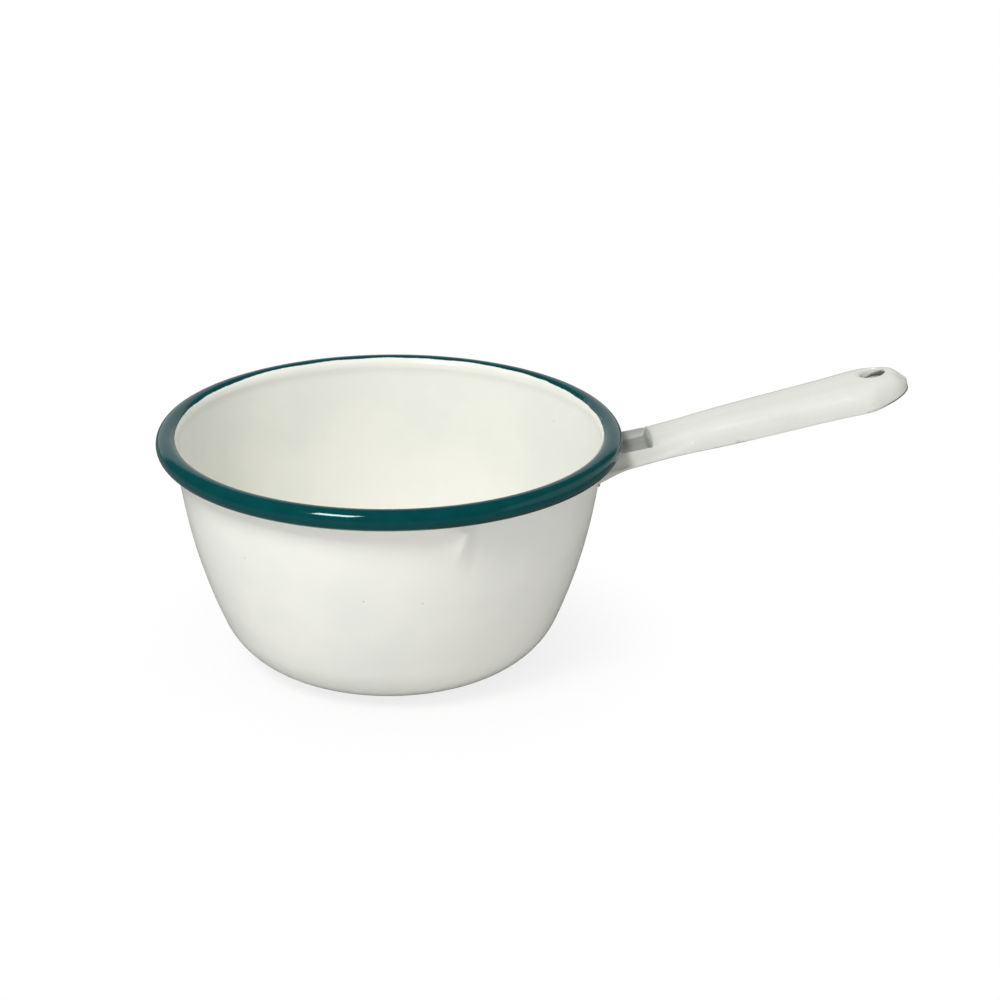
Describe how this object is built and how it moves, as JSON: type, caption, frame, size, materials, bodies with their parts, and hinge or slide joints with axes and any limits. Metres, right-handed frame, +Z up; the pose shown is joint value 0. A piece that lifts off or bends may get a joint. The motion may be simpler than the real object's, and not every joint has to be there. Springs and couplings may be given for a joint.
{
  "type": "enamelled milk pan",
  "caption": "White enamelled steel milk pan with a dark green rolled rim, a side pouring lip and a hollow-back handle with a hanging hole.",
  "frame": {"origin": "middle of the flat base, on the surface that the pan stands on", "axes": "+Z up along the bowl's axis, +X along the handle from the bowl to its tip, +Y across the pan, away from the pouring lip"},
  "size_m": [0.2634, 0.162, 0.1014],
  "materials": {
    "pressed_steel": "satin",
    "weld_steel": "satin",
    "white_enamel": "gloss",
    "green_enamel": "gloss"
  },
  "bodies": {
    "root": {"bowl_pressing": "pressed_steel", "handle_pressing": "pressed_steel", "spot_welds": "weld_steel", "bowl_inside_enamel": "white_enamel", "bowl_outside_enamel": "white_enamel", "rim_green_enamel": "green_enamel", "handle_enamel": "white_enamel"}
  },
  "joints": []
}
